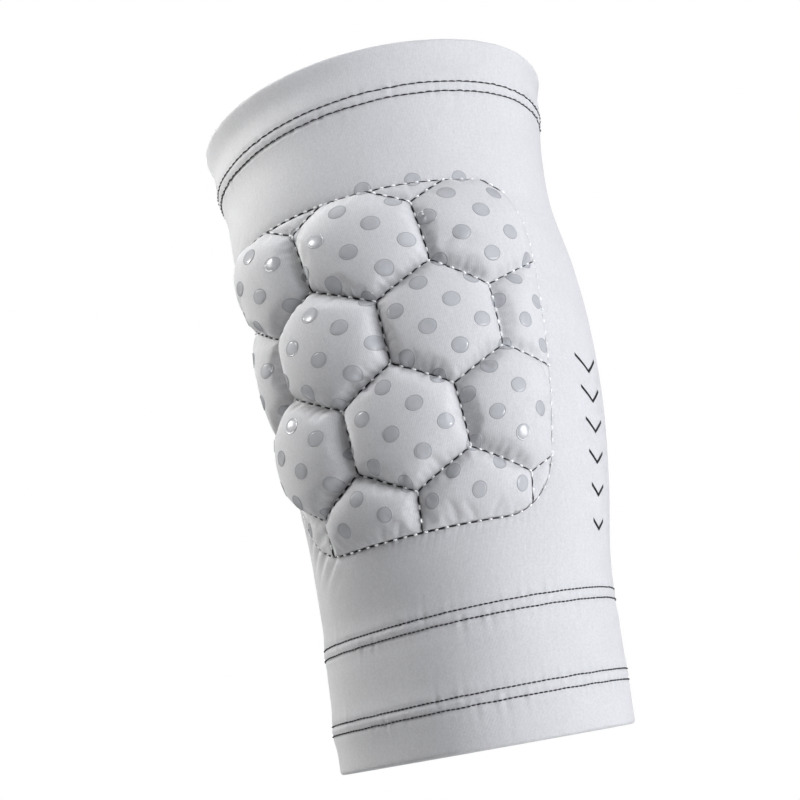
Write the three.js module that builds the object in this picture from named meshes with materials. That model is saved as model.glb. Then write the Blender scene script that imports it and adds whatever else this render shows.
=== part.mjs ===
// A padded elbow sleeve: a stretch-knit tube with a folded cuff at each end and a quilted honeycomb pad
// sewn over the point of the elbow. It has the form that it takes on a slightly bent arm.
// Millimetres. +Z runs up the arm, the pad faces -Y, and the origin is the middle of the elbow.
import * as THREE from "three";

// Cross-sections of the worn tube, from the forearm hem to the upper-arm rim.
// along: height on the arm's centre line. side: shift towards +X. halfWidth, front and back: half sizes
// towards the sides, the pad and the crook of the arm. lean: degrees by which the +X side is lifted.
const SECTIONS = [
  { along: -122, side: -10, halfWidth: 50, front: 46, back: 44, lean: -4 },
  { along: -95, side: -7.5, halfWidth: 50, front: 46, back: 44, lean: -2 },
  { along: -70, side: -4.5, halfWidth: 50, front: 46.5, back: 44.5, lean: -1 },
  { along: -45, side: -0.5, halfWidth: 52, front: 48, back: 46, lean: 1 },
  { along: -20, side: 1, halfWidth: 54.5, front: 51, back: 49, lean: 1 },
  { along: 5, side: 0.5, halfWidth: 56, front: 53, back: 51, lean: 1 },
  { along: 30, side: -0.5, halfWidth: 56, front: 53, back: 51, lean: 1 },
  { along: 55, side: -3, halfWidth: 55.5, front: 53, back: 51, lean: 2 },
  { along: 80, side: -3, halfWidth: 57, front: 53, back: 51, lean: 3 },
  { along: 102.5, side: -2.5, halfWidth: 60, front: 54, back: 52, lean: 2.5 },
];
const BEND_RADIUS = 855; // of the centre line, which curves away from the pad towards both ends

// Knit walls and the seams between the pieces
const FOOT = SECTIONS[0].along;
const RIM = SECTIONS[SECTIONS.length - 1].along;
const KNIT = 1.4; // single layer
const FOLDED_KNIT = 2.4; // cuff turned back on itself
const FOLD_PROUD = 0.4; // how far a folded cuff stands out beyond the single layer
const UPPER_SEAM = 82.5; // folded edge of the upper cuff
const LOWER_SEAM = -84; // where the forearm cuff is sewn on
const HEM_EDGE = -110; // folded edge of the forearm hem
const HEM_STEP = 2; // height over which the hem thickens
const PIECE_GAP = 0.3;

// Honeycomb pad, drawn flat: across runs round the arm, and rise runs up it
const FLAT_RADIUS = 55; // arm radius at which the flat pattern keeps its width
const CELL_WIDTH = 40.3;
const CELL_EDGE = 20; // length of a cell's upright side
const FIRST_ROW = 38.5; // rise of the middle of the topmost whole cells
const PAD_LEAN = 0.04; // drop of the pattern for each millimetre across
const PAD_CORNERS = [
  { across: -51, rise: -52.5, radius: 16 },
  { across: 51, rise: -52.5, radius: 16 },
  { across: 61.5, rise: 55.5, radius: 18 },
  { across: -61.5, rise: 55.5, radius: 18 },
];
// One row for each row of cells, from the top: place of the first cell, in cells from the middle line.
const PAD_ROWS = [
  { rowsDown: -1, firstColumn: -0.5, cells: 2 },
  { rowsDown: 0, firstColumn: -1, cells: 3 },
  { rowsDown: 1, firstColumn: -1.5, cells: 4 },
  { rowsDown: 2, firstColumn: -1, cells: 3 },
  { rowsDown: 3, firstColumn: -1.5, cells: 4 },
];
const SEAM_HALF = 0.7; // half the width of the stitched channel between cells
const SEAM_RISE = 1.5; // height of a cushion's edge at the channel
const CROWN = 8.5; // height of a whole cell's middle above its edge
const CROWN_POWER = 3.5; // steepness of a cushion's shoulder
const CELL_CORNER = 0.18; // share of each side that a cushion's rounded corner takes

// Facets
const TURN_STEPS = 48;
const ROW_STEP = 15;
const CUFF_ROW_STEP = 8;
const CELL_SIDES = 24;
const CELL_RINGS = [1, 0.9, 0.72, 0.42];
const ARC_STEPS = 6;
const FOLD_ANGLES = [45, 90, 135];

// Finishes
const KNIT_FINISH = { color: 0xdfe1e5, roughness: 0.9, metalness: 0 };
const PAD_FINISH = { color: 0xd6d8dd, roughness: 0.85, metalness: 0 };

// Smooth value of one column of the section table at a height on the centre line.
function column(name, along) {
  const last = SECTIONS.length - 1;
  let row = 0;
  while (row < last - 1 && along > SECTIONS[row + 1].along) row += 1;
  const slopeAt = (index) => {
    const before = SECTIONS[Math.max(index - 1, 0)];
    const after = SECTIONS[Math.min(index + 1, last)];
    return (after[name] - before[name]) / (after.along - before.along);
  };
  const low = SECTIONS[row];
  const high = SECTIONS[row + 1];
  const span = high.along - low.along;
  const share = (along - low.along) / span;
  const rest = 1 - share;
  return (
    (1 + 2 * share) * rest * rest * low[name] +
    share * rest * rest * span * slopeAt(row) +
    share * share * (1 + 2 * rest) * high[name] -
    share * share * rest * span * slopeAt(row + 1)
  );
}

// Point on the sleeve: turn in radians from the pad's middle towards +X, out in millimetres off the outer face.
function skin(turn, along, out) {
  const reach = column(Math.cos(turn) > 0 ? "front" : "back", along);
  const across = (column("halfWidth", along) + out) * Math.sin(turn);
  const depth = -(reach + out) * Math.cos(turn);
  const lean = THREE.MathUtils.degToRad(column("lean", along));
  const lift = across * Math.sin(lean);
  const bend = along / BEND_RADIUS;
  return new THREE.Vector3(
    column("side", along) + across * Math.cos(lean),
    BEND_RADIUS * (1 - Math.cos(bend)) + depth * Math.cos(bend) + lift * Math.sin(bend),
    BEND_RADIUS * Math.sin(bend) - depth * Math.sin(bend) + lift * Math.cos(bend),
  );
}

function indexedGeometry(points, triangles) {
  const geometry = new THREE.BufferGeometry();
  const positions = points.flatMap((point) => point.toArray());
  geometry.setAttribute("position", new THREE.Float32BufferAttribute(positions, 3));
  geometry.setIndex(triangles);
  geometry.computeVertexNormals();
  return geometry;
}

function namedMesh(name, geometry, finish) {
  const mesh = new THREE.Mesh(geometry, new THREE.MeshStandardMaterial(finish));
  mesh.name = name;
  return mesh;
}

// Evenly spaced heights from low to high, no further apart than step.
function levels(low, high, step) {
  const count = Math.ceil((high - low) / step);
  return Array.from({ length: count + 1 }, (_, index) => low + ((high - low) * index) / count);
}

// Points round a folded edge, from the outer face to the inner one; direction is +1 at a top, -1 at a foot.
function foldPoints(tip, direction, outer, inner) {
  const radius = (outer - inner) / 2;
  const middle = (outer + inner) / 2;
  return FOLD_ANGLES.map((degrees) => {
    const angle = THREE.MathUtils.degToRad(degrees);
    return { along: tip - direction * radius * (1 - Math.sin(angle)), out: middle + radius * Math.cos(angle) };
  });
}

// A wall swept once round the arm. Its profile runs up the outer face and down the inner one.
function tubeGeometry(profile) {
  const points = [];
  const triangles = [];
  profile.forEach(({ along, out }, level) => {
    const next = (level + 1) % profile.length;
    for (let step = 0; step < TURN_STEPS; step += 1) {
      const beside = (step + 1) % TURN_STEPS;
      points.push(skin((2 * Math.PI * step) / TURN_STEPS, along, out));
      const here = [level * TURN_STEPS + step, level * TURN_STEPS + beside];
      const above = [next * TURN_STEPS + step, next * TURN_STEPS + beside];
      triangles.push(here[0], here[1], above[1], here[0], above[1], above[0]);
    }
  });
  return indexedGeometry(points, triangles);
}

function face(heights, out) {
  return heights.map((along) => ({ along, out }));
}

function sleeveGeometry() {
  const heights = levels(LOWER_SEAM + PIECE_GAP, UPPER_SEAM - PIECE_GAP, ROW_STEP);
  return tubeGeometry([...face(heights, 0), ...face(heights.toReversed(), -KNIT)]);
}

function upperCuffGeometry() {
  const outer = FOLD_PROUD;
  const inner = FOLD_PROUD - FOLDED_KNIT;
  const heights = levels(UPPER_SEAM, RIM - FOLDED_KNIT / 2, CUFF_ROW_STEP);
  const fold = foldPoints(RIM, 1, outer, inner);
  return tubeGeometry([...face(heights, outer), ...fold, ...face(heights.toReversed(), inner)]);
}

function lowerCuffGeometry() {
  const outer = FOLD_PROUD;
  const inner = FOLD_PROUD - FOLDED_KNIT;
  const hem = levels(FOOT + FOLDED_KNIT / 2, HEM_EDGE, CUFF_ROW_STEP);
  const band = levels(HEM_EDGE + HEM_STEP, LOWER_SEAM, CUFF_ROW_STEP);
  const fold = foldPoints(FOOT, -1, outer, inner);
  return tubeGeometry([
    ...face(hem, outer),
    ...face(band, 0),
    ...face(band.toReversed(), -KNIT),
    ...face(hem.toReversed(), inner),
    ...fold.toReversed(),
  ]);
}

// The pad's outline as a closed run of flat points, with an arc at each corner.
function padOutline() {
  const corners = PAD_CORNERS.map(({ across, rise }) => new THREE.Vector2(across, rise));
  return corners.flatMap((corner, index) => {
    const before = corners[(index + corners.length - 1) % corners.length].clone().sub(corner).normalize();
    const after = corners[(index + 1) % corners.length].clone().sub(corner).normalize();
    const halfAngle = Math.acos(before.dot(after)) / 2;
    const radius = PAD_CORNERS[index].radius;
    const centre = before.clone().add(after).normalize().multiplyScalar(radius / Math.sin(halfAngle)).add(corner);
    const start = before.clone().multiplyScalar(radius / Math.tan(halfAngle)).add(corner).sub(centre).angle();
    const sweep = Math.PI - 2 * halfAngle;
    return Array.from({ length: ARC_STEPS + 1 }, (_, step) => {
      const angle = start + (sweep * step) / ARC_STEPS;
      return new THREE.Vector2(radius * Math.cos(angle), radius * Math.sin(angle)).add(centre);
    });
  });
}

function hexagon(centre) {
  const half = CELL_WIDTH / 2;
  return [
    [0, -CELL_EDGE],
    [half, -CELL_EDGE / 2],
    [half, CELL_EDGE / 2],
    [0, CELL_EDGE],
    [-half, CELL_EDGE / 2],
    [-half, -CELL_EDGE / 2],
  ].map(([across, rise]) => new THREE.Vector2(centre.x + across, centre.y + rise));
}

// Signed distance of a flat point to the left of the line from start to end.
function leftOf(point, start, end) {
  return end.clone().sub(start).normalize().cross(point.clone().sub(start));
}

// The part of a convex polygon at least margin to the left of the line from start to end.
function cutBy(polygon, start, end, margin) {
  return polygon.flatMap((point, index) => {
    const next = polygon[(index + 1) % polygon.length];
    const here = leftOf(point, start, end) - margin;
    const there = leftOf(next, start, end) - margin;
    const kept = here >= 0 ? [point] : [];
    if (here * there < 0) kept.push(point.clone().lerp(next, here / (here - there)));
    return kept;
  });
}

// The part of a convex polygon that lies inside another one, set in from its sides by margin.
function within(polygon, outline, margin) {
  return outline.reduce(
    (kept, start, index) => cutBy(kept, start, outline[(index + 1) % outline.length], margin),
    polygon,
  );
}

// Evenly spaced points on a polygon whose corners are rounded.
function softened(polygon) {
  const shape = new THREE.Shape();
  polygon.forEach((corner, index) => {
    const before = polygon[(index + polygon.length - 1) % polygon.length];
    const after = polygon[(index + 1) % polygon.length];
    const entry = corner.clone().lerp(before, CELL_CORNER);
    const leave = corner.clone().lerp(after, CELL_CORNER);
    if (index === 0) shape.moveTo(entry.x, entry.y);
    else shape.lineTo(entry.x, entry.y);
    shape.quadraticCurveTo(corner.x, corner.y, leave.x, leave.y);
  });
  shape.closePath();
  return shape.getSpacedPoints(CELL_SIDES).slice(0, CELL_SIDES);
}

function middleOf(points) {
  const sum = points.reduce((total, point) => total.add(point), new THREE.Vector2());
  return sum.divideScalar(points.length);
}

function onSleeve(flat, out) {
  return skin(flat.x / FLAT_RADIUS, flat.y - PAD_LEAN * flat.x, out);
}

// A cushion: rings of points that close in on its middle, crowned on top and following the sleeve below.
function cushionGeometry(polygon) {
  const middle = middleOf(softened(polygon));
  const edge = softened(polygon);
  const inner = Math.min(
    ...polygon.map((point, index) => leftOf(middle, point, polygon[(index + 1) % polygon.length])),
  );
  const whole = (CELL_EDGE * CELL_WIDTH) / Math.hypot(CELL_EDGE, CELL_WIDTH) - SEAM_HALF;
  const crown = CROWN * Math.sqrt(Math.min(inner / whole, 1));
  const points = [];
  const triangles = [];
  const addFace = (outAt, flip) => {
    const first = points.length;
    CELL_RINGS.forEach((share) => {
      edge.forEach((point) => points.push(onSleeve(middle.clone().lerp(point, share), outAt(share))));
    });
    points.push(onSleeve(middle, outAt(0)));
    const add = (a, b, c) => triangles.push(...(flip ? [a, c, b] : [a, b, c]));
    edge.forEach((_, side) => {
      const beside = (side + 1) % CELL_SIDES;
      CELL_RINGS.slice(1).forEach((_share, ring) => {
        const outer = first + ring * CELL_SIDES;
        const closer = outer + CELL_SIDES;
        add(outer + side, outer + beside, closer + beside);
        add(outer + side, closer + beside, closer + side);
      });
      const last = first + (CELL_RINGS.length - 1) * CELL_SIDES;
      add(last + side, last + beside, points.length - 1);
    });
    return first;
  };
  const top = addFace((share) => PIECE_GAP + SEAM_RISE + crown * (1 - share ** CROWN_POWER), false);
  const bottom = addFace(() => PIECE_GAP, true);
  edge.forEach((_, side) => {
    const beside = (side + 1) % CELL_SIDES;
    triangles.push(bottom + side, bottom + beside, top + beside);
    triangles.push(bottom + side, top + beside, top + side);
  });
  return indexedGeometry(points, triangles);
}

function elbowPad() {
  const pad = new THREE.Group();
  const outline = padOutline();
  PAD_ROWS.forEach(({ rowsDown, firstColumn, cells }, row) => {
    for (let cell = 0; cell < cells; cell += 1) {
      const across = (firstColumn + cell) * CELL_WIDTH;
      const rise = FIRST_ROW - rowsDown * 1.5 * CELL_EDGE;
      const whole = hexagon(new THREE.Vector2(across, rise));
      const inset = within(whole, whole, SEAM_HALF);
      const polygon = within(inset, outline, SEAM_HALF);
      pad.add(namedMesh(`pad_cell_${row}_${cell + 1}`, cushionGeometry(polygon), PAD_FINISH));
    }
  });
  return pad;
}

const elbowSleeve = new THREE.Group();
elbowSleeve.add(namedMesh("upper_cuff", upperCuffGeometry(), KNIT_FINISH));
elbowSleeve.add(namedMesh("sleeve", sleeveGeometry(), KNIT_FINISH));
elbowSleeve.add(namedMesh("lower_cuff", lowerCuffGeometry(), KNIT_FINISH));
elbowSleeve.add(elbowPad());

export default elbowSleeve;
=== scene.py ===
"""Looks of a padded elbow sleeve: knit tube, folded cuffs, quilted honeycomb pad, stitching and grip dots.

Sizes are millimetres and become metres where a mesh is made. Turn is the angle round the arm in degrees,
from the middle of the pad towards +X. Along is the height on the arm's centre line, and out is the distance
off the knit's outer face. The pad is drawn flat first: across runs round the arm, and rise runs up it.
"""
import logging
import math
from dataclasses import dataclass, field
from enum import Enum
from typing import Iterable, Sequence

import bpy
import numpy as np
from mathutils import Matrix, Vector
from mathutils.bvhtree import BVHTree
from mathutils.geometry import delaunay_2d_cdt


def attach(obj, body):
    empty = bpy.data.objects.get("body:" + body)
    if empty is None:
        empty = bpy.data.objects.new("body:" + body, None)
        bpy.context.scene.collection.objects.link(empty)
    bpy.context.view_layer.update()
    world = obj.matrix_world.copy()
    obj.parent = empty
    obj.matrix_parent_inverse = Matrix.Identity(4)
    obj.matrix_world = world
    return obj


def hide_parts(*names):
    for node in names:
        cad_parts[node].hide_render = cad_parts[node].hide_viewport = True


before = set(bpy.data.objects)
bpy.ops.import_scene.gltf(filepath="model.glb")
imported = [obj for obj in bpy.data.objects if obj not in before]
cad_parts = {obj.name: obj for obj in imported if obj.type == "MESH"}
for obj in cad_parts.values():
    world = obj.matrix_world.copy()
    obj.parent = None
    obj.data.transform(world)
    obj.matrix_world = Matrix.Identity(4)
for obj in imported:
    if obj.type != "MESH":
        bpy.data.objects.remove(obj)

LOG = logging.getLogger("elbow_sleeve")
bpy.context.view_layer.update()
BODY = "root"
MM = 0.001
FLAT_UV = "flat"
FLAT_RADIUS = 55.0
ON_LINE = 0.02
TINY = 1e-9
INSIDE_TRIANGLES = 1

Colour = tuple[float, float, float]
Piece = bpy.types.Object
Material = bpy.types.Material
Socket = bpy.types.NodeSocket

WHITE: Colour = (1.0, 1.0, 1.0)
COOL: Colour = (0.93, 0.945, 1.0)


class Slot(Enum):
    """Material slots of the record."""

    KNIT = "knit"
    PAD_COVER = "pad_cover"
    SEAM_THREAD = "seam_thread"
    NEEDLE_THREAD = "needle_thread"
    SILICONE_DOT = "silicone_dot"
    LINE_PRINT = "line_print"


class Fold(Enum):
    """End of a knit tube that is turned back on itself."""

    NONE = 0
    TOP = 1
    FOOT = -1


# Curves that several shapes share


def ramp(value: np.ndarray, start: float, over: float) -> np.ndarray:
    """Share that grows from 0 at start to 1 at start + over."""
    return np.clip((value - start) / over, 0, 1)


def eased(share: np.ndarray) -> np.ndarray:
    """A share from 0 to 1 with soft ends."""
    return share * share * (3 - 2 * share)


def bell(away: np.ndarray, reach: float) -> np.ndarray:
    """1 at no distance, and nearly 0 at twice the reach."""
    return np.exp(-((away / reach) ** 2))


@dataclass(frozen=True)
class Ripple:
    """A wave round the arm: its count in a whole turn, its slant up the arm, its phase and its share."""

    waves: float
    slant: float
    phase: float = 0.0
    share: float = 1.0


def rippled(ripples: Iterable[Ripple], turn: np.ndarray, height: np.ndarray | float) -> np.ndarray:
    """Sum of some ripples at turns round the arm and heights on it."""
    angle = np.radians(turn)
    return sum(one.share * np.sin(one.waves * angle + one.slant * height + one.phase) for one in ripples)


# Worn form of the arm tube


@dataclass(frozen=True)
class Section:
    """One cross-section of the worn tube, in millimetres and degrees."""

    along: float
    side: float
    half_width: float
    front: float
    back: float
    lean: float


SECTIONS = (
    Section(along=-122, side=-10, half_width=50, front=46, back=44, lean=-4),
    Section(along=-95, side=-7.5, half_width=50, front=46, back=44, lean=-2),
    Section(along=-70, side=-4.5, half_width=50, front=46.5, back=44.5, lean=-1),
    Section(along=-45, side=-0.5, half_width=52, front=48, back=46, lean=1),
    Section(along=-20, side=1.4, half_width=54.3, front=51, back=49, lean=1),
    Section(along=5, side=1.5, half_width=55.6, front=53, back=51, lean=1),
    Section(along=30, side=0.3, half_width=55.5, front=53, back=51, lean=1),
    Section(along=55, side=-3, half_width=55.5, front=53, back=51, lean=2),
    Section(along=80, side=-3, half_width=57, front=53, back=51, lean=3),
    Section(along=102.5, side=-2.5, half_width=60, front=54, back=52, lean=2.5),
)


class ArmForm:
    """Outer face of the worn tube, as a surface over turn and along."""

    def __init__(self, sections: Sequence[Section], bend_radius: float) -> None:
        """Keep the section table as columns.

        Args:
            sections: cross-sections from the foot to the rim.
            bend_radius: radius of the arm's centre line, in millimetres.
        """
        self.bend_radius = bend_radius
        self.knots = np.array([row.along for row in sections], float)
        names = ("side", "half_width", "front", "back", "lean")
        self.columns = {name: np.array([getattr(row, name) for row in sections], float) for name in names}
        self.slopes = {name: self._slopes(values) for name, values in self.columns.items()}

    def _slopes(self, values: np.ndarray) -> np.ndarray:
        """Slope of a column at each section, from its neighbours.

        Args:
            values: the column, a value for each section.

        Returns:
            A slope for each section.
        """
        before = np.maximum(np.arange(len(values)) - 1, 0)
        after = np.minimum(np.arange(len(values)) + 1, len(values) - 1)
        return (values[after] - values[before]) / (self.knots[after] - self.knots[before])

    def column(self, name: str, along: np.ndarray) -> np.ndarray:
        """Smooth value of one column.

        Args:
            name: the column's name.
            along: heights on the centre line.

        Returns:
            The column's value at each height.
        """
        row = np.clip(np.searchsorted(self.knots, along) - 1, 0, len(self.knots) - 2)
        span = self.knots[row + 1] - self.knots[row]
        share = (along - self.knots[row]) / span
        rest = 1 - share
        values, slopes = self.columns[name], self.slopes[name]
        low = (1 + 2 * share) * rest**2 * values[row] + share * rest**2 * span * slopes[row]
        high = share**2 * (1 + 2 * rest) * values[row + 1] - share**2 * rest * span * slopes[row + 1]
        return low + high

    def point(self, turn: np.ndarray, along: np.ndarray, out: np.ndarray) -> np.ndarray:
        """Points on or off the tube.

        Args:
            turn: angles round the arm, in degrees.
            along: heights on the centre line.
            out: distances off the outer face.

        Returns:
            An array of points in metres, one row each.
        """
        turn, along, out = np.broadcast_arrays(np.asarray(turn, float), np.asarray(along, float), out)
        angle = np.radians(turn)
        reach = np.where(np.cos(angle) > 0, self.column("front", along), self.column("back", along))
        across = (self.column("half_width", along) + out) * np.sin(angle)
        depth = -(reach + out) * np.cos(angle)
        lean = np.radians(self.column("lean", along))
        lift = across * np.sin(lean)
        bend = along / self.bend_radius
        side = self.column("side", along) + across * np.cos(lean)
        away = self.bend_radius * (1 - np.cos(bend)) + depth * np.cos(bend) + lift * np.sin(bend)
        height = self.bend_radius * np.sin(bend) - depth * np.sin(bend) + lift * np.cos(bend)
        return np.stack([side, away, height], axis=-1) * MM

    def outward(self, turn: np.ndarray, along: np.ndarray) -> np.ndarray:
        """Unit vectors straight off the outer face."""
        step = self.point(turn, along, 1.0) - self.point(turn, along, 0.0)
        return step / np.linalg.norm(step, axis=-1, keepdims=True)


ARM = ArmForm(SECTIONS, bend_radius=855)


# Flat geometry


def inside_convex(points: np.ndarray, polygon: np.ndarray) -> np.ndarray:
    """Whether flat points lie inside a convex polygon.

    Args:
        points: flat points, one row each.
        polygon: corners of the polygon, anticlockwise.

    Returns:
        A truth value for each point.
    """
    way = np.roll(polygon, -1, axis=0) - polygon
    rel = points[:, None] - polygon
    return (way[:, 0] * rel[..., 1] - way[:, 1] * rel[..., 0] >= 0).all(axis=1)


def nearest_segment(
    points: np.ndarray, starts: np.ndarray, ends: np.ndarray
) -> tuple[np.ndarray, np.ndarray, np.ndarray]:
    """Find the straight segment that each flat point is nearest to.

    Args:
        points: flat points, one row each.
        starts: first ends of the segments.
        ends: second ends of the segments.

    Returns:
        Distances, numbers of the segments, and runs along them from their starts.
    """
    way = ends - starts
    rel = points[:, None] - starts
    square = np.maximum((way * way).sum(-1), TINY)
    share = np.clip((rel * way).sum(-1) / square, 0, 1)
    gaps = np.linalg.norm(rel - share[..., None] * way, axis=-1)
    nearest = gaps.argmin(axis=1)
    each = np.arange(len(nearest))
    run = (rel[each, nearest] * way[nearest]).sum(-1) / np.sqrt(square)[nearest]
    return gaps[each, nearest], nearest, run


def evenly(start: np.ndarray, end: np.ndarray, step: float) -> np.ndarray:
    """Points from start to end, both included, no further apart than step."""
    count = max(1, math.ceil(np.linalg.norm(end - start) / step))
    return start + (end - start) * np.linspace(0, 1, count + 1)[:, None]


def runs_along(line: np.ndarray) -> np.ndarray:
    """Distance of each point of a line from its first one, along the line."""
    return np.concatenate([[0], np.cumsum(np.linalg.norm(np.diff(line, axis=0), axis=1))])


# Flat pattern of the honeycomb pad


@dataclass(frozen=True)
class PadCorner:
    """A corner of the pad's outline in the flat pattern."""

    across: float
    rise: float
    radius: float


@dataclass(frozen=True)
class PadRow:
    """Rows below the top whole row, place of the first cell in cell widths, and how full each cell is."""

    rows_down: int
    first_column: float
    fills: tuple[float, ...]


@dataclass(frozen=True)
class SeamDrift:
    """A place where the quilting strays sideways from an even honeycomb."""

    across: float
    rise: float
    right: float
    reach: float


@dataclass
class QuiltPattern:
    """Honeycomb cells, stitched seams and outline of the pad, drawn flat."""

    cell_width: float = 40.3
    cell_edge: float = 20
    first_row: float = 38.5
    lean: float = 0.04
    arc_step: float = 2.0
    least_seam: float = 0.5
    match_digits: int = 2
    corners: tuple[PadCorner, ...] = (
        PadCorner(across=-66, rise=-54.3, radius=32),
        PadCorner(across=47.8, rise=-53.5, radius=20),
        PadCorner(across=61.8, rise=55.6, radius=15),
        PadCorner(across=-64, rise=54.2, radius=19),
    )
    rows: tuple[PadRow, ...] = (
        PadRow(rows_down=-1, first_column=-0.5, fills=(0.8, 0.8)),
        PadRow(rows_down=0, first_column=-1, fills=(0.86, 0.96, 0.88)),
        PadRow(rows_down=1, first_column=-1.5, fills=(0.9, 1.0, 1.0, 0.75)),
        PadRow(rows_down=2, first_column=-1, fills=(1.1, 1.0, 0.95)),
        PadRow(rows_down=3, first_column=-1.5, fills=(0.4, 0.95, 0.9, 0.7)),
    )
    drifts: tuple[SeamDrift, ...] = (
        SeamDrift(across=40, rise=8.5, right=-5.2, reach=16),
        SeamDrift(across=20, rise=-14, right=-1.8, reach=12),
        SeamDrift(across=-20, rise=38.5, right=-1.8, reach=16),
    )
    outline: np.ndarray = field(init=False)
    seams: np.ndarray = field(init=False)
    cells: dict[str, np.ndarray] = field(init=False)
    fills: dict[str, float] = field(init=False)

    def __post_init__(self) -> None:
        """Work out the outline, the cells and the seams between them."""
        self.outline = self._rounded_outline()
        self.cells, self.fills = {}, {}
        row_pitch = 1.5 * self.cell_edge
        for index, row in enumerate(self.rows):
            rise = self.first_row - row.rows_down * row_pitch
            for place, fill in enumerate(row.fills):
                name = f"pad_cell_{index}_{place + 1}"
                across = (row.first_column + place) * self.cell_width
                self.cells[name] = self._clipped(self._hexagon(across, rise))
                self.fills[name] = fill
        self.seams = self._inner_seams()

    def _rounded_outline(self) -> np.ndarray:
        """Draw the outline with an arc at each corner.

        Returns:
            A closed run of flat points, anticlockwise.
        """
        places = np.array([(corner.across, corner.rise) for corner in self.corners], float)
        points = []
        for index, corner in enumerate(self.corners):
            before = places[index - 1] - places[index]
            after = places[(index + 1) % len(places)] - places[index]
            before /= np.linalg.norm(before)
            after /= np.linalg.norm(after)
            half_angle = math.acos(float(before @ after)) / 2
            middle = (before + after) / np.linalg.norm(before + after)
            centre = places[index] + middle * corner.radius / math.sin(half_angle)
            start = places[index] + before * corner.radius / math.tan(half_angle) - centre
            sweep = math.pi - 2 * half_angle
            steps = max(2, round(sweep * corner.radius / self.arc_step))
            angles = math.atan2(start[1], start[0]) + np.linspace(0, sweep, steps + 1)
            points.append(centre + corner.radius * np.stack([np.cos(angles), np.sin(angles)], axis=-1))
        return np.concatenate(points)

    def _hexagon(self, across: float, rise: float) -> np.ndarray:
        """Draw a whole cell, with its corners shifted where the quilting strays.

        Args:
            across: place of its middle round the arm.
            rise: place of its middle up the arm.

        Returns:
            Six corners, from its foot and anticlockwise.
        """
        half, edge, low = self.cell_width / 2, self.cell_edge, self.cell_edge / 2
        shape = [(0, -edge), (half, -low), (half, low), (0, edge), (-half, low), (-half, -low)]
        corners = np.array(shape) + (across, rise)
        shift = np.zeros(len(corners))
        for drift in self.drifts:
            away = np.hypot(corners[:, 0] - drift.across, corners[:, 1] - drift.rise)
            shift += drift.right * bell(away, drift.reach)
        corners[:, 0] += shift
        return corners

    def _clipped(self, polygon: np.ndarray) -> np.ndarray:
        """Cut a convex polygon off at the outline.

        Args:
            polygon: corners of the polygon.

        Returns:
            Corners of the part that lies inside the outline.
        """
        kept = list(polygon)
        for index, start in enumerate(self.outline):
            way = self.outline[(index + 1) % len(self.outline)] - start
            sides = [way[0] * (point - start)[1] - way[1] * (point - start)[0] for point in kept]
            cut = []
            for here, point in enumerate(kept):
                there = (here + 1) % len(kept)
                if sides[here] >= 0:
                    cut.append(point)
                if sides[here] * sides[there] < 0:
                    share = sides[here] / (sides[here] - sides[there])
                    cut.append(point + (kept[there] - point) * share)
            kept = cut
        return np.array(kept)

    def _inner_seams(self) -> np.ndarray:
        """Find each seam between two cells once.

        Returns:
            The two ends of every seam.
        """
        found = {}
        for polygon in self.cells.values():
            for start, end in zip(polygon, np.roll(polygon, -1, axis=0)):
                on_rim = self.rim_distance(np.array([(start + end) / 2]))[0] < ON_LINE
                if np.linalg.norm(end - start) > self.least_seam and not on_rim:
                    ends = sorted(tuple(np.round(place, self.match_digits)) for place in (start, end))
                    found[tuple(ends)] = True
        return np.array(list(found))

    def rim_run(self, flat: np.ndarray) -> tuple[np.ndarray, np.ndarray]:
        """Measure flat points against the outline.

        Args:
            flat: flat points, one row each.

        Returns:
            Distances to the outline, and runs round it to the nearest places.
        """
        ends = np.roll(self.outline, -1, axis=0)
        gap, nearest, run = nearest_segment(flat, self.outline, ends)
        return gap, runs_along(self.outline)[nearest] + run

    def rim_distance(self, flat: np.ndarray) -> np.ndarray:
        """Distance of flat points to the outline."""
        return self.rim_run(flat)[0]

    def seam_distance(self, flat: np.ndarray) -> np.ndarray:
        """Distance of flat points to the nearest seam or the outline."""
        inner, _, _ = nearest_segment(flat, self.seams[:, 0], self.seams[:, 1])
        return np.minimum(inner, self.rim_distance(flat))

    def inside(self, flat: np.ndarray) -> np.ndarray:
        """Whether flat points lie inside the outline."""
        return inside_convex(flat, self.outline)

    def fill_at(self, flat: np.ndarray) -> np.ndarray:
        """Find how full the cell under each flat point is.

        Args:
            flat: flat points, one row each.

        Returns:
            A share of the full thickness for each point.
        """
        fill = np.ones(len(flat))
        for name, polygon in self.cells.items():
            fill[inside_convex(flat, polygon)] = self.fills[name]
        return fill

    def to_arm(self, flat: np.ndarray) -> tuple[np.ndarray, np.ndarray]:
        """Turn and along of flat points."""
        return np.degrees(flat[..., 0] / FLAT_RADIUS), flat[..., 1] - self.lean * flat[..., 0]

    def to_flat(self, turn: np.ndarray, along: np.ndarray) -> np.ndarray:
        """Flat points of places on the arm."""
        across = np.radians(turn) * FLAT_RADIUS
        return np.stack([across, along + self.lean * across], axis=-1)


# Meshes


def make_piece(
    name: str, points: np.ndarray, faces: Sequence[Sequence[int]], uvs: np.ndarray | None = None
) -> Piece:
    """Make a smooth mesh object.

    Args:
        name: name of the piece.
        points: vertices in metres.
        faces: vertex numbers of each face, anticlockwise from outside.
        uvs: a flat coordinate for each face corner, in order.

    Returns:
        The linked object.
    """
    mesh = bpy.data.meshes.new(name)
    mesh.from_pydata([tuple(point) for point in points], [], [tuple(face) for face in faces])
    mesh.polygons.foreach_set("use_smooth", [True] * len(mesh.polygons))
    if uvs is not None:
        layer = mesh.uv_layers.new(name=FLAT_UV)
        layer.data.foreach_set("uv", np.asarray(uvs, np.float32).ravel())
    mesh.update()
    piece = bpy.data.objects.new(name, mesh)
    bpy.context.scene.collection.objects.link(piece)
    return piece


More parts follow.
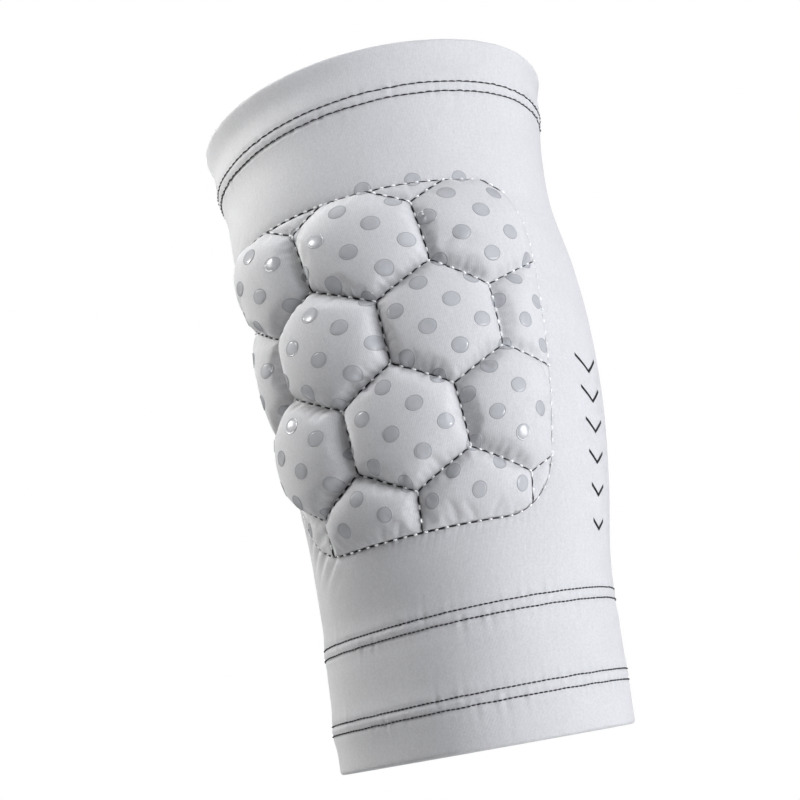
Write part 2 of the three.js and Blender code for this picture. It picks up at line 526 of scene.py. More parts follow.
def settle(piece: Piece) -> None:
    """Apply a piece's modifiers to its mesh.

    Args:
        piece: the piece, whose mesh keeps its name.
    """
    graph = bpy.context.evaluated_depsgraph_get()
    raw = piece.data
    name = raw.name
    settled = bpy.data.meshes.new_from_object(piece.evaluated_get(graph), depsgraph=graph)
    piece.modifiers.clear()
    piece.data = settled
    bpy.data.meshes.remove(raw)
    settled.name = name


def dress(piece: Piece, material: Material) -> None:
    """Give a piece its material and its body, and report it.

    Args:
        piece: the piece.
        material: its only material.
    """
    piece.data.materials.clear()
    piece.data.materials.append(material)
    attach(piece, BODY)
    LOG.info("%s: %d faces", piece.name, len(piece.data.polygons))


# Shader nodes


class NodeCanvas:
    """Short ways to add and join nodes in one tree."""

    def __init__(self, tree: bpy.types.NodeTree) -> None:
        """Work on a tree."""
        self.tree = tree

    def add(self, kind: str, **settings: object) -> bpy.types.Node:
        """Add a node.

        Args:
            kind: the node's type.
            settings: its properties by name.

        Returns:
            The new node.
        """
        node = self.tree.nodes.new(kind)
        for name, value in settings.items():
            setattr(node, name, value)
        return node

    def feed(self, node: bpy.types.Node, values: dict[str | int, object]) -> None:
        """Set or link a node's inputs.

        Args:
            node: the node.
            values: a plain value or another node's output for each input, by its name or number.
        """
        for name, value in values.items():
            if isinstance(value, Socket):
                self.tree.links.new(value, node.inputs[name])
            else:
                node.inputs[name].default_value = value

    def math(self, operation: str, *values: Socket | float) -> Socket:
        """Add a math node.

        Args:
            operation: the node's operation.
            values: its inputs in order.

        Returns:
            The node's output.
        """
        node = self.add("ShaderNodeMath", operation=operation)
        self.feed(node, dict(enumerate(values)))
        return node.outputs[0]

    def noise(self, place: Socket, scale: Socket | float, detail: float, dimensions: str = "3D") -> Socket:
        """Add a noise texture.

        Args:
            place: coordinates that it is read at.
            scale: its scale.
            detail: its octaves.
            dimensions: 2D or 3D.

        Returns:
            A mask from 0 to 1.
        """
        node = self.add("ShaderNodeTexNoise", noise_dimensions=dimensions)
        self.feed(node, {"Vector": place, "Scale": scale, "Detail": detail})
        return node.outputs["Fac"]

    def flat_uv(self) -> Socket:
        """The surface's flat coordinates."""
        return self.add("ShaderNodeUVMap", uv_map=FLAT_UV).outputs["UV"]

    def split(self, vector: Socket) -> bpy.types.NodeOutputs:
        """Take a vector apart.

        Args:
            vector: the vector.

        Returns:
            Its parts X, Y and Z.
        """
        node = self.add("ShaderNodeSeparateXYZ")
        self.feed(node, {"Vector": vector})
        return node.outputs

    def group(self, tree: bpy.types.NodeTree, **values: float) -> bpy.types.NodeOutputs:
        """Place a node group.

        Args:
            tree: the group.
            values: its inputs by name.

        Returns:
            The group's outputs.
        """
        node = self.add("ShaderNodeGroup", node_tree=tree)
        self.feed(node, values)
        return node.outputs

    def bump(self, height: Socket, strength: float, depth: float) -> Socket:
        """Turn a height into a normal.

        Args:
            height: the height over the surface.
            strength: share of the full effect.
            depth: distance that a height of 1 stands for, in metres.

        Returns:
            The normal.
        """
        node = self.add("ShaderNodeBump")
        self.feed(node, {"Height": height, "Strength": strength, "Distance": depth})
        return node.outputs["Normal"]

    def shade(self, mask: Socket, low: Colour, high: Colour, span: tuple[float, float]) -> Socket:
        """Colour a surface between two tones by a mask.

        Args:
            mask: the mask.
            low: tone where the mask is at the start of the span or below.
            high: tone where the mask is at the end of the span or above.
            span: two values of the mask.

        Returns:
            The colour.
        """
        node = self.add("ShaderNodeValToRGB")
        for stop, place, colour in zip(node.color_ramp.elements, span, (low, high)):
            stop.position = place
            stop.color = (*colour, 1.0)
        self.feed(node, {"Fac": mask})
        return node.outputs["Color"]


def new_group(
    name: str, inputs: dict[str, float], outputs: Iterable[str]
) -> tuple[NodeCanvas, dict[str, Socket], bpy.types.Node]:
    """Start a shader node group with float sockets.

    Args:
        name: the group's name.
        inputs: input names and their defaults.
        outputs: output names.

    Returns:
        The canvas, the input sockets by name, and the node that takes the outputs.
    """
    tree = bpy.data.node_groups.new(name, "ShaderNodeTree")
    for label, default in inputs.items():
        socket = tree.interface.new_socket(name=label, in_out="INPUT", socket_type="NodeSocketFloat")
        socket.default_value = default
    for label in outputs:
        tree.interface.new_socket(name=label, in_out="OUTPUT", socket_type="NodeSocketFloat")
    canvas = NodeCanvas(tree)
    entry = canvas.add("NodeGroupInput")
    return canvas, dict(entry.outputs.items()), canvas.add("NodeGroupOutput")


@dataclass(frozen=True)
class FineKnit:
    """Node group of a fine jersey: upright wales crossed by courses, with flecks and upright streaks."""

    wale: float = 0.9
    course: float = 0.7
    course_slant: float = 0.45
    loop_depth: float = 0.3
    loop_level: float = 0.7
    yarn: float = 0.5
    uneven: float = 0.45
    streak_shade: float = 0.3
    fleck_scale: float = 0.8
    fleck_detail: float = 3.0
    streak_stretch: tuple[float, float, float] = (2.0, 0.16, 1.0)
    streak_scale: float = 1.0
    streak_detail: float = 4.0

    def build(self) -> bpy.types.NodeTree:
        """Make the group.

        Returns:
            Its tree, which puts out a height and a shade.
        """
        canvas, given, out = new_group(
            "Fine knit", {"Wale": self.wale, "Course": self.course}, ["Height", "Shade"]
        )
        uv = canvas.flat_uv()
        place = canvas.split(uv)
        wale = canvas.math("DIVIDE", place["X"], given["Wale"])
        course = canvas.math("DIVIDE", place["Y"], given["Course"])
        half_turn = canvas.math("MULTIPLY", wale, math.pi)
        rib = canvas.math("ABSOLUTE", canvas.math("SINE", half_turn))
        valley = canvas.math("ABSOLUTE", canvas.math("COSINE", half_turn))
        slanted = canvas.math("ADD", course, canvas.math("MULTIPLY", valley, self.course_slant))
        wave = canvas.math("SINE", canvas.math("MULTIPLY", slanted, 2 * math.pi))
        loop = canvas.math("MULTIPLY_ADD", wave, self.loop_depth, self.loop_level)
        yarn = canvas.math("MULTIPLY", canvas.math("MULTIPLY", rib, loop), self.yarn)
        fleck = canvas.noise(uv, self.fleck_scale, self.fleck_detail, "2D")
        stretch = canvas.add("ShaderNodeMapping")
        canvas.feed(stretch, {"Vector": uv, "Scale": self.streak_stretch})
        streak = canvas.noise(stretch.outputs["Vector"], self.streak_scale, self.streak_detail, "2D")
        uneven = canvas.math("MULTIPLY", canvas.math("ADD", streak, fleck), self.uneven)
        streaks = canvas.math("MULTIPLY", streak, self.streak_shade)
        height, shade = canvas.math("ADD", yarn, uneven), canvas.math("ADD", yarn, streaks)
        canvas.feed(out, {"Height": height, "Shade": shade})
        return canvas.tree


@dataclass(frozen=True)
class ClothMottle:
    """Node group of the slow unevenness of dyed cloth and of fine fibre grain, each from 0 to 1."""

    patch: float = 60.0
    patch_detail: float = 3.0
    grain: float = 1400.0
    grain_detail: float = 2.0

    def build(self) -> bpy.types.NodeTree:
        """Make the group.

        Returns:
            Its tree, which puts out patches and fibres.
        """
        canvas, given, out = new_group(
            "Cloth mottle", {"Patch": self.patch, "Grain": self.grain}, ["Patches", "Fibres"]
        )
        place = canvas.add("ShaderNodeTexCoord").outputs["Object"]
        patches = canvas.noise(place, given["Patch"], self.patch_detail)
        fibres = canvas.noise(place, given["Grain"], self.grain_detail)
        canvas.feed(out, {"Patches": patches, "Fibres": fibres})
        return canvas.tree


@dataclass(frozen=True)
class Groups:
    """The shared node groups."""

    knit: bpy.types.NodeTree
    mottle: bpy.types.NodeTree


# Finishes


MASK_MIDDLE = (0.3, 0.7)
MIX_FACTOR, MIX_FIRST, MIX_SECOND = 0, 6, 7
MIX_RESULT = 2


def scaled(colour: Colour, factor: float) -> Colour:
    """A colour made darker or lighter."""
    return tuple(channel * factor for channel in colour)


def start_material(name: str) -> tuple[Material, NodeCanvas, bpy.types.Node]:
    """Start a node material.

    Args:
        name: the material's name.

    Returns:
        The material, its canvas and its principled shader.
    """
    material = bpy.data.materials.new(name)
    material.use_nodes = True
    return material, NodeCanvas(material.node_tree), material.node_tree.nodes["Principled BSDF"]


@dataclass(frozen=True)
class Finish:
    """A named finish and its main colour."""

    name: str
    colour: Colour

    def build(self, groups: Groups) -> Material:
        """Make the material.

        Args:
            groups: the shared node groups.

        Returns:
            The finished material.
        """
        material, canvas, shader = start_material(self.name)
        canvas.feed(shader, self.inputs(canvas, groups))
        return material

    def inputs(self, canvas: NodeCanvas, groups: Groups) -> dict:
        """The shader's inputs by name. Each finish gives its own."""
        raise NotImplementedError


@dataclass(frozen=True)
class KnitFinish(Finish):
    """Pale stretch jersey with fine wales, faint mottle and a soft sheen."""

    wale: float = 0.5
    course: float = 0.42
    bump: float = 0.2
    bump_depth: float = 0.0003
    mottle: float = 0.05
    grain: float = 0.16
    roughness: float = 0.82
    specular: float = 0.25
    sheen: float = 0.15
    sheen_roughness: float = 0.45

    def inputs(self, canvas: NodeCanvas, groups: Groups) -> dict:
        """Shade and raise the loops, and add fibres and patches.

        Args:
            canvas: the material's canvas.
            groups: the shared node groups.

        Returns:
            The shader's inputs by name.
        """
        knit = canvas.group(groups.knit, Wale=self.wale, Course=self.course)
        mottle = canvas.group(groups.mottle)
        patches = canvas.math("MULTIPLY", mottle["Patches"], self.mottle)
        fibres = canvas.math("MULTIPLY", mottle["Fibres"], self.grain)
        loops = canvas.math("MULTIPLY", knit["Shade"], self.grain)
        tone = canvas.math("ADD", canvas.math("ADD", patches, fibres), loops)
        reach = self.mottle + 2 * self.grain
        low, high = scaled(self.colour, 1 - reach), scaled(self.colour, 1 + reach / 2)
        return {
            "Base Color": canvas.shade(tone, low, high, (0.0, min(1.0, reach))),
            "Normal": canvas.bump(knit["Height"], self.bump, self.bump_depth),
            "Roughness": self.roughness,
            "Specular IOR Level": self.specular,
            "Sheen Weight": self.sheen,
            "Sheen Roughness": self.sheen_roughness,
        }


@dataclass(frozen=True)
class ThreadFinish(Finish):
    """Twisted sewing thread."""

    fade: float = 0.7
    roughness: float = 0.55
    twist: float = 1.4
    bump: float = 0.5
    bump_depth: float = 0.0002

    def inputs(self, canvas: NodeCanvas, groups: Groups) -> dict:
        """Fade the fibres and twist the strands.

        Args:
            canvas: the material's canvas.
            groups: the shared node groups.

        Returns:
            The shader's inputs by name.
        """
        fibres = canvas.group(groups.mottle)["Fibres"]
        twist = canvas.add("ShaderNodeTexWave", wave_type="BANDS", bands_direction="DIAGONAL")
        canvas.feed(twist, {"Vector": canvas.flat_uv(), "Scale": self.twist})
        return {
            "Base Color": canvas.shade(fibres, scaled(self.colour, self.fade), self.colour, MASK_MIDDLE),
            "Normal": canvas.bump(twist.outputs["Fac"], self.bump, self.bump_depth),
            "Roughness": self.roughness,
        }


@dataclass(frozen=True)
class SiliconeFinish(Finish):
    """Grey silicone with a soft gloss, and painted shade in a ring just inside its rim, standing in for the
    shading of the raised rim.
    """

    patch: float = 220.0
    uneven: float = 0.08
    roughness: float = 0.14
    roughness_range: float = 0.12
    specular: float = 0.4
    coat: float = 0.15
    coat_roughness: float = 0.15
    # The ring fields place and set the painted shade along the dot's rim.
    ring_at: float = 0.93
    ring_span: tuple[float, float] = (0.03, 0.08)
    rim_painted_shade: float = 0.86

    def inputs(self, canvas: NodeCanvas, groups: Groups) -> dict:
        """Mottle the silicone and darken its ring with painted shade of the raised rim; the ring's place is
        the flat X.

        Args:
            canvas: the material's canvas.
            groups: the shared node groups.

        Returns:
            The shader's inputs by name.
        """
        mottle = canvas.group(groups.mottle, Patch=self.patch)
        low, high = scaled(self.colour, 1 - self.uneven), scaled(self.colour, 1 + self.uneven)
        tone = canvas.shade(mottle["Patches"], low, high, MASK_MIDDLE)
        share = canvas.split(canvas.flat_uv())["X"]
        # Painted shade: the ring just inside the dot's edge is darkened in colour, standing in for the
        # shading of the raised rim.
        off_ring = canvas.math("ABSOLUTE", canvas.math("SUBTRACT", share, self.ring_at))
        ring = canvas.shade(off_ring, scaled(WHITE, self.rim_painted_shade), WHITE, self.ring_span)
        both = canvas.add("ShaderNodeMix", data_type="RGBA", blend_type="MULTIPLY")
        canvas.feed(both, {MIX_FACTOR: 1.0, MIX_FIRST: tone, MIX_SECOND: ring})
        rough = canvas.math("MULTIPLY_ADD", mottle["Fibres"], self.roughness_range, self.roughness)
        return {
            "Base Color": both.outputs[MIX_RESULT],
            "Roughness": rough,
            "Specular IOR Level": self.specular,
            "Coat Weight": self.coat,
            "Coat Roughness": self.coat_roughness,
        }


@dataclass(frozen=True)
class PrintFinish(Finish):
    """Thin matt ink that has sunk into the knit."""

    dark: float = 0.8
    pale: float = 1.6
    roughness: float = 0.75

    def inputs(self, canvas: NodeCanvas, groups: Groups) -> dict:
        """Let the fibres show through the ink.

        Args:
            canvas: the material's canvas.
            groups: the shared node groups.

        Returns:
            The shader's inputs by name.
        """
        fibres = canvas.group(groups.mottle)["Fibres"]
        low, high = scaled(self.colour, self.dark), scaled(self.colour, self.pale)
        return {"Base Color": canvas.shade(fibres, low, high, MASK_MIDDLE), "Roughness": self.roughness}


# Relief of the knit


@dataclass(frozen=True)
class StitchPair:
    """Two needle lines that run round the arm, and the pitch, length and thickness of their stitches."""

    upper: float
    lower: float
    pitch: float
    length: float
    thread: float


STITCH_PAIRS = (
    StitchPair(upper=87.2, lower=84.0, pitch=2.7, length=2.55, thread=0.54),
    StitchPair(upper=-79.0, lower=-82.4, pitch=1.85, length=1.6, thread=0.52),
    StitchPair(upper=-104.8, lower=-108.2, pitch=1.85, length=1.6, thread=0.52),
)


@dataclass(frozen=True)
class Hollow:
    """A place where the worn tube falls back: full between two heights, and nothing beyond two others."""

    depth: float
    turn: float
    spread: float
    low: float
    full_low: float
    full_high: float
    high: float

    def depth_at(self, turn: np.ndarray, along: np.ndarray) -> np.ndarray:
        """Find how far the knit falls back.

        Args:
            turn: angles round the arm, in degrees.
            along: heights on the centre line.

        Returns:
            A depth for each place.
        """
        rising = ramp(along, self.low, self.full_low - self.low)
        falling = ramp(-along, -self.high, self.high - self.full_high)
        return self.depth * eased(np.minimum(rising, falling)) * bell(turn - self.turn, self.spread)


@dataclass
class KnitRelief:
    """How far the knit's outer face rises or sinks: grooves, gathers, pulls at the pad and slow drift."""

    pattern: QuiltPattern
    groove_depth: float = 0.45
    groove_half: float = 0.7
    puff: float = 0.8
    puff_reach: float = 5.0
    puff_least: float = 0.3
    flat_from: float = 20.0
    flat_over: float = 60.0
    gather: float = 0.2
    gather_reach: float = 3.0
    gathers: tuple[Ripple, ...] = (Ripple(waves=61, slant=1), Ripple(waves=97, slant=2, share=0.6))
    gather_level: float = 0.6
    gather_swells: tuple[Ripple, ...] = (Ripple(waves=7, slant=1, share=0.4),)
    cuff_dip: float = 0.8
    cuff_dip_at: float = 95.5
    cuff_dip_reach: float = 4.5
    hollows: tuple[Hollow, ...] = (
        Hollow(depth=4.2, turn=-30, spread=34, low=-150, full_low=-140, full_high=-81, high=-50),
        Hollow(depth=2.2, turn=-42, spread=38, low=58, full_low=83, full_high=86, high=108),
    )
    drift: float = 0.15
    drifts: tuple[Ripple, ...] = (
        Ripple(waves=3, slant=1 / 31),
        Ripple(waves=5, slant=-1 / 19, phase=1.3, share=0.7),
        Ripple(waves=8, slant=1 / 13, phase=4.1, share=0.5),
    )
    under_pad: float = -0.35
    pad_across: float = 100.0
    pad_rise: float = 90.0
    pull: float = 0.5
    pull_reach: float = 8.0
    pull_wave: float = 5.5
    pull_lean: float = 55.0
    pull_sway: float = 1.2
    pull_sway_run: float = 11.0
    pull_overtone: float = 0.35
    pull_overtone_phase: float = 0.8
    pull_least: float = 0.05
    pull_high: float = 0.1
    pull_below: float = 10.0
    pull_below_over: float = 40.0
    pull_left: float = 36.0
    pull_left_over: float = 14.0
    tick: float = 0.2
    tick_reach: float = 2.0
    tick_wave: float = 2.8
    tick_slant: float = 0.4
    edge_dip: float = 0.3
    edge_dip_reach: float = 1.2

    def height(self, turn: np.ndarray, along: np.ndarray) -> np.ndarray:
        """Find the relief of the tube, and sink the knit under the pad.

        Args:
            turn: angles round the arm, in degrees.
            along: heights on the centre line.

        Returns:
            Distances off the plain outer face.
        """
        total = self.drift * rippled(self.drifts, turn, along)
        swell = self.puff_least + (1 - self.puff_least) * ramp(-turn, -self.flat_from, self.flat_over)
        for pair in STITCH_PAIRS:
            for line in (pair.upper, pair.lower):
                away = np.abs(along - line)
                total -= self.groove_depth * bell(away, self.groove_half)
                total += self._gathers(turn, line) * np.exp(-away / self.gather_reach)
            total += self.puff * swell * bell(along - (pair.upper + pair.lower) / 2, self.puff_reach)
        total -= self.cuff_dip * bell(along - self.cuff_dip_at, self.cuff_dip_reach)
        for hollow in self.hollows:
            total -= hollow.depth_at(turn, along)
        flat = self.pattern.to_flat(turn, along)
        near = (np.abs(flat[..., 0]) < self.pad_across) & (np.abs(flat[..., 1]) < self.pad_rise)
        covered = self.pattern.inside(flat[near])
        total[near] = np.where(covered, self.under_pad, total[near] + self._pulls(flat[near]))
        return total

    def _gathers(self, turn: np.ndarray, line: float) -> np.ndarray:
        """Fine upright ripples where a stitch line draws the knit in."""
        swell = self.gather_level + rippled(self.gather_swells, turn, line)
        return self.gather * swell * rippled(self.gathers, turn, line)

    def _pulls(self, flat: np.ndarray) -> np.ndarray:
        """Draw wrinkles off the pad's edge, strongest at its lower left.

        Args:
            flat: flat points near the pad.

        Returns:
            A height for each point.
        """
        gap, run = self.pattern.rim_run(flat)
        low = ramp(-flat[:, 1], self.pull_below, self.pull_below_over)
        left = ramp(-flat[:, 0], self.pull_left, self.pull_left_over)
        strength = left * (self.pull_high + (1 - self.pull_high) * low)
        strength = self.pull_least + (1 - self.pull_least) * strength
        lean = math.radians(self.pull_lean)
        slanted = flat @ np.array([math.cos(lean), -math.sin(lean)])
        phase = 2 * np.pi * slanted / self.pull_wave + self.pull_sway * np.sin(run / self.pull_sway_run)
        wave = np.sin(phase) + self.pull_overtone * np.sin(2 * phase + self.pull_overtone_phase)
        pulls = self.pull * strength * wave * bell(gap, self.pull_reach)
        tick_phase = 2 * np.pi * (run + self.tick_slant * gap) / self.tick_wave
        pulls += self.tick * np.sin(tick_phase) * np.exp(-gap / self.tick_reach)
        return pulls - self.edge_dip * bell(gap, self.edge_dip_reach)


# Knit tube and cuffs


@dataclass
class KnitTube:
    """One length of the knit tube: an outer and an inner face, with a folded end where it has one."""

    node: str
    low: float
    high: float
    wall: float
    relief: KnitRelief
    fold: Fold = Fold.NONE
    proud: float = 0.0
    proud_over: float = 5.0
    turn_steps: int = 400
    row_step: float = 1.0
    inner_step: float = 6.0
    fold_steps: int = 8
    match_digits: int = 4

    def _swell(self, along: np.ndarray) -> np.ndarray:
        """Find how far a folded cuff stands out, from nothing at its seam.

        Args:
            along: heights on the centre line.

        Returns:
            Distances off the plain tube.
        """
        if self.fold is Fold.NONE:
            return np.zeros_like(along)
        seam = self.low if self.fold is Fold.TOP else self.high
        return self.proud * eased(ramp(np.abs(along - seam), 0, self.proud_over))

    def _profile(self) -> tuple[np.ndarray, np.ndarray]:
        """Draw the wall up the outside, round a fold and down the inside.

        Returns:
            Heights on the centre line, and depths below the outer face.
        """
        radius = self.wall / 2
        top = self.high - (radius if self.fold is Fold.TOP else 0)
        foot = self.low + (radius if self.fold is Fold.FOOT else 0)
        outer = np.linspace(foot, top, math.ceil((top - foot) / self.row_step) + 1)
        inner = np.linspace(top, foot, math.ceil((top - foot) / self.inner_step) + 1)
        angles = np.linspace(0, math.pi, self.fold_steps + 1)[1:-1]
        bulge, sink = radius * np.sin(angles), radius * (1 - np.cos(angles))
        parts = [(outer, np.zeros_like(outer)), (inner, np.full_like(inner, self.wall))]
        if self.fold is Fold.TOP:
            parts.insert(1, (top + bulge, sink))
        if self.fold is Fold.FOOT:
            parts.append((foot - bulge, sink[::-1]))
        return np.concatenate([along for along, _ in parts]), np.concatenate([depth for _, depth in parts])

    def build(self) -> Piece:
        """Make the mesh.

        Returns:
            The tube's object.
        """
        along, depth = self._profile()
        rows, steps = len(along), self.turn_steps
        turn = np.linspace(-180, 180, steps + 1)
        grid_turn, grid_along = np.meshgrid(turn[:-1], along)
        out = self.relief.height(grid_turn, grid_along) + self._swell(grid_along) - depth[:, None]
        points = ARM.point(grid_turn, grid_along, out).reshape(-1, 3)
        row, step = np.meshgrid(np.arange(rows), np.arange(steps), indexing="ij")
        above, beside = (row + 1) % rows, (step + 1) % steps
        here, there = row * steps, above * steps
        faces = np.stack([here + step, here + beside, there + beside, there + step], -1)
        across = np.radians(turn) * FLAT_RADIUS
        corner_u = np.stack([across[step], across[step + 1], across[step + 1], across[step]], -1)
        corner_v = np.stack([along[row], along[row], along[above], along[above]], -1)
        uvs = np.stack([corner_u, corner_v], -1).reshape(-1, 2)
        piece = make_piece(f"{self.node}_knit", points, faces.reshape(-1, 4).tolist(), uvs)
        self._crease_ends(piece, along)
        return piece

    def _crease_ends(self, piece: Piece, along: np.ndarray) -> None:
        """Keep the shading of a cut end apart from the faces beside it.

        Args:
            piece: the tube's object.
            along: height of each row of its points.
        """
        edges = np.zeros(len(piece.data.edges) * 2, int)
        piece.data.edges.foreach_get("vertices", edges)
        rows = edges.reshape(-1, 2) // self.turn_steps
        level = rows[:, 0] == rows[:, 1]
        heights = np.round(along[rows[:, 0]], self.match_digits)
        cut = level & np.isin(heights, np.round([self.low, self.high], self.match_digits))
        sharp = piece.data.attributes.new("sharp_edge", "BOOLEAN", "EDGE")
        sharp.data.foreach_set("value", cut)


@dataclass
class KnitBody:
    """The sleeve's knit: the tube and the folded cuffs at its ends. The cut sizes are in metres."""

    relief: KnitRelief
    foot: float = -122
    rim: float = 102.5
    upper_seam: float = 82.5
    lower_seam: float = -84
    knit: float = 1.4
    folded_knit: float = 2.4
    fold_proud: float = 0.4
    cut_round: float = 0.30
    cut_lengths: dict[str, float] = field(
        default_factory=lambda: {"upper_cuff": 0.0205, "sleeve": 0.166, "lower_cuff": 0.038}
    )

    def build(self, material: Material) -> list[Piece]:
        """Make and dress the three lengths.

        Args:
            material: the knit's material.

        Returns:
            The pieces, from the upper cuff down.
        """
        folded = {"wall": self.folded_knit, "proud": self.fold_proud, "relief": self.relief}
        tubes = (
            KnitTube("upper_cuff", self.upper_seam, self.rim, fold=Fold.TOP, **folded),
            KnitTube("sleeve", self.lower_seam, self.upper_seam, wall=self.knit, relief=self.relief),
            KnitTube("lower_cuff", self.foot, self.lower_seam, fold=Fold.FOOT, **folded),
        )
        pieces = []
        for tube in tubes:
            piece = tube.build()
            dress(piece, material)
            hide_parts(tube.node)
            pieces.append(piece)
        return pieces


# Quilted pad


CLOTH_RULES = {
    "quality": 8,
    "mass": 0.3,
    "tension_stiffness": 15,
    "compression_stiffness": 15,
    "shear_stiffness": 5,
    "bending_stiffness": 0.8,
    "tension_damping": 10,
    "compression_damping": 10,
    "shear_damping": 10,
    "air_damping": 4,
    "use_pressure": True,
    "uniform_pressure_force": 4,
    "shrink_min": -0.03,
}


@dataclass
class QuiltedPad:
    """The honeycomb pad: one knit cover, sewn down along the seams and puffed up by foam between them."""

    pattern: QuiltPattern
    crown: float = 8.3
    fill: float = 0.85
    fullness: float = 0.32
    rim_fullness: float = 0.62
    side_thin: float = 0.15
    side_reach: float = 60.0
    rim_thin: float = 0.55
    rim_reach: float = 16.0
    left_full: float = 0.6
    left_from: float = 20.0
    left_over: float = 25.0
    left_foot: float = -45.0
    left_foot_over: float = 15.0
    seam_out: float = 0.35
    rim_out: float = 0.25
    back_out: float = -0.1
    edge_step: float = 1.3
    point_step: float = 1.6
    seam_clear: float = 0.85
    weld: float = 0.001
    relax_rounds: int = 1600
    pucker: float = 0.14
    pucker_reach: float = 1.6
    pucker_from: float = 1.0
    pucker_wave: float = 3.9
    pucker_slow: float = 0.5
    pucker_slow_wave: float = 6.7
    cloth_scale: float = 10.0
    cloth_frames: int = 18
    cloth_cap: float = 2.5

    def _flat_mesh(self) -> tuple[np.ndarray, np.ndarray]:
        """Cover the pattern with triangles that follow every seam and the outline.

        Returns:
            Flat points, and vertex numbers of the triangles.
        """
        outline = self.pattern.outline
        rim = np.stack([outline, np.roll(outline, -1, axis=0)], axis=1)
        points, edges = [], []
        for start, end in np.concatenate([rim, self.pattern.seams]):
            first = len(points)
            points.extend(evenly(start, end, self.edge_step))
            edges.extend((place, place + 1) for place in range(first, len(points) - 1))
        low, high = outline.min(axis=0), outline.max(axis=0)
        rises = np.arange(low[1], high[1], self.point_step * math.sqrt(3) / 2)
        grid = []
        for index, rise in enumerate(rises):
            shift = (index % 2) * self.point_step / 2
            acrosses = np.arange(low[0] + shift, high[0], self.point_step)
            grid.append(np.stack([acrosses, np.full_like(acrosses, rise)], axis=-1))
        grid = np.concatenate(grid)
        keep = self.pattern.inside(grid) & (self.pattern.seam_distance(grid) > self.seam_clear)
        spots = [Vector(point) for point in np.concatenate([np.array(points), grid[keep]])]
        places, _, corners, *_ = delaunay_2d_cdt(spots, edges, [], INSIDE_TRIANGLES, self.weld)
        flat = np.array([tuple(place) for place in places])
        triangles = np.array(corners)
        return flat, triangles[self.pattern.inside(flat[triangles].mean(axis=1))]

    def _dome(self, flat: np.ndarray, triangles: np.ndarray, sewn: np.ndarray) -> np.ndarray:
        """Lift a sheet that is held at the seams by an even pressure.

        Args:
            flat: flat points.
            triangles: vertex numbers of the triangles.
            sewn: whether each point is on a seam or the outline.

        Returns:
            A share of the crown, from 0 at a seam to 1 in the middle of a whole cell.
        """
        sides = np.sort(triangles[:, [[0, 1], [1, 2], [2, 0]]].reshape(-1, 2), axis=1)
        pairs = np.unique(sides, axis=0)
        first = np.concatenate([pairs[:, 0], pairs[:, 1]])
        second = np.concatenate([pairs[:, 1], pairs[:, 0]])
        count = np.maximum(np.bincount(first, minlength=len(flat)), 1)
        lift = np.zeros(len(flat))
        for _ in range(self.relax_rounds):
            lift = np.bincount(first, weights=lift[second], minlength=len(flat)) / count + 1
            lift[sewn] = 0
        power = self.fullness + (self.rim_fullness - self.fullness) * self._near_rim(flat)
        return (lift / lift.max()) ** power

    def _near_rim(self, flat: np.ndarray) -> np.ndarray:
        """Find what is near the outline, less so on the left side, where the foam reaches the edge.

        Args:
            flat: flat points.

        Returns:
            A share from 0 well inside to 1 at the outline.
        """
        share = np.clip(1 - self.pattern.rim_distance(flat) / self.rim_reach, 0, 1)
        left = ramp(-flat[:, 0], self.left_from, self.left_over)
        left *= ramp(flat[:, 1], self.left_foot, self.left_foot_over)
        return share**2 * (1 - self.left_full * left)

    def _foam(self, flat: np.ndarray) -> np.ndarray:
        """Thickness of the foam, which thins towards the sides and the outline."""
        sides = 1 - self.side_thin * (flat[:, 0] / self.side_reach) ** 2
        return self.crown * self.pattern.fill_at(flat) * sides * (1 - self.rim_thin * self._near_rim(flat))

    def _puckers(self, flat: np.ndarray) -> np.ndarray:
        """Dip the cover a little at the stitches.

        Args:
            flat: flat points.

        Returns:
            A height for each point.
        """
        gap = self.pattern.seam_distance(flat)
        _, nearest, run = nearest_segment(flat, self.pattern.seams[:, 0], self.pattern.seams[:, 1])
        slow = self.pucker_slow * np.sin(2 * np.pi * run / self.pucker_slow_wave + nearest)
        wave = np.sin(2 * np.pi * run / self.pucker_wave) + slow
        return self.pucker * wave * np.exp(-gap / self.pucker_reach) * ramp(gap, 0, self.pucker_from)

    def build(self, material: Material) -> Piece:
        """Make the pad.

        Args:
            material: the cover's material.

        Returns:
            The pad's object.
        """
        flat, triangles = self._flat_mesh()
        on_rim = self.pattern.rim_distance(flat) < ON_LINE
        sewn = self.pattern.seam_distance(flat) < ON_LINE
        base = np.where(on_rim, self.rim_out, self.seam_out)
        out = base + (self._foam(flat) - base) * self._dome(flat, triangles, sewn) + self._puckers(flat)
        turn, along = self.pattern.to_arm(flat)
        top = ARM.point(turn, along, out)
        top = self._puff(top, triangles, sewn)
        below = ARM.point(turn, along, self.back_out)
        number = np.where(on_rim, np.arange(len(flat)), len(flat) + np.cumsum(~on_rim) - 1)
        points = np.concatenate([top, below[~on_rim]])
        faces = np.concatenate([triangles, number[triangles][:, ::-1]])
        sheet = np.stack([np.radians(turn) * FLAT_RADIUS, along], axis=-1)[triangles]
        uvs = np.concatenate([sheet.reshape(-1, 2), sheet[:, ::-1].reshape(-1, 2)])
        piece = make_piece("elbow_pad_cover", points, faces.tolist(), uvs)
        smooth = piece.modifiers.new("Smooth cover", "SUBSURF")
        smooth.levels = smooth.render_levels = 1
        settle(piece)
        dress(piece, material)
        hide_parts(*self.pattern.cells)
        return piece

